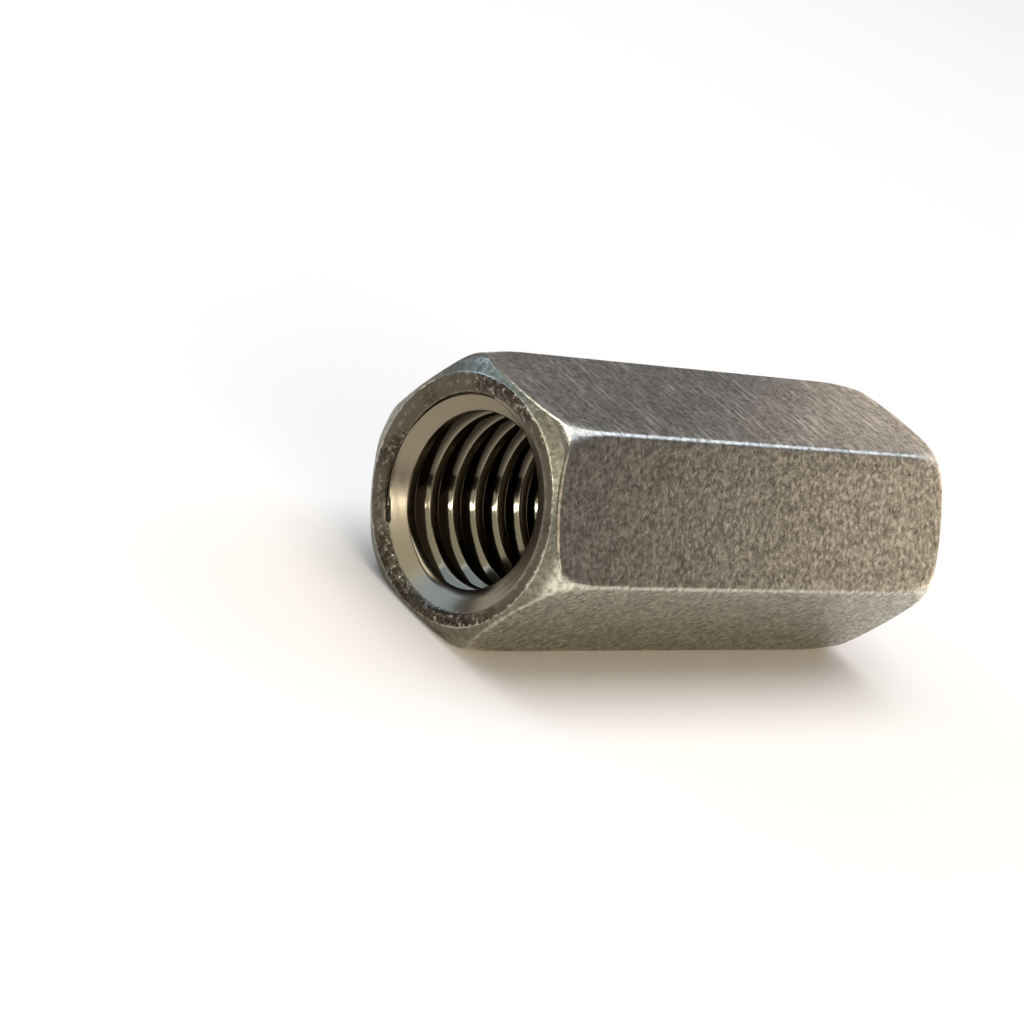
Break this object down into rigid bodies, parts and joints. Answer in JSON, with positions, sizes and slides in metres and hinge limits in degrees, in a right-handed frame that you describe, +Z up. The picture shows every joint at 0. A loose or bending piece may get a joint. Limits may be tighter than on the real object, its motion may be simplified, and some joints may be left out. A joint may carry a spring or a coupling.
{
  "type": "coupling nut",
  "caption": "Long hexagonal coupling nut of stainless steel, threaded from end to end, with a countersink and a corner chamfer at each end.",
  "frame": {"origin": "middle of the nut, on the axis of the threaded hole", "axes": "+X along the hole, +Z up from the flat that the nut lies on, +Y across the corners"},
  "size_m": [0.024, 0.0114, 0.01],
  "materials": {
    "stainless_steel": "tumbled, finely pitted"
  },
  "bodies": {
    "root": {"coupling_nut": "stainless_steel"}
  },
  "joints": []
}
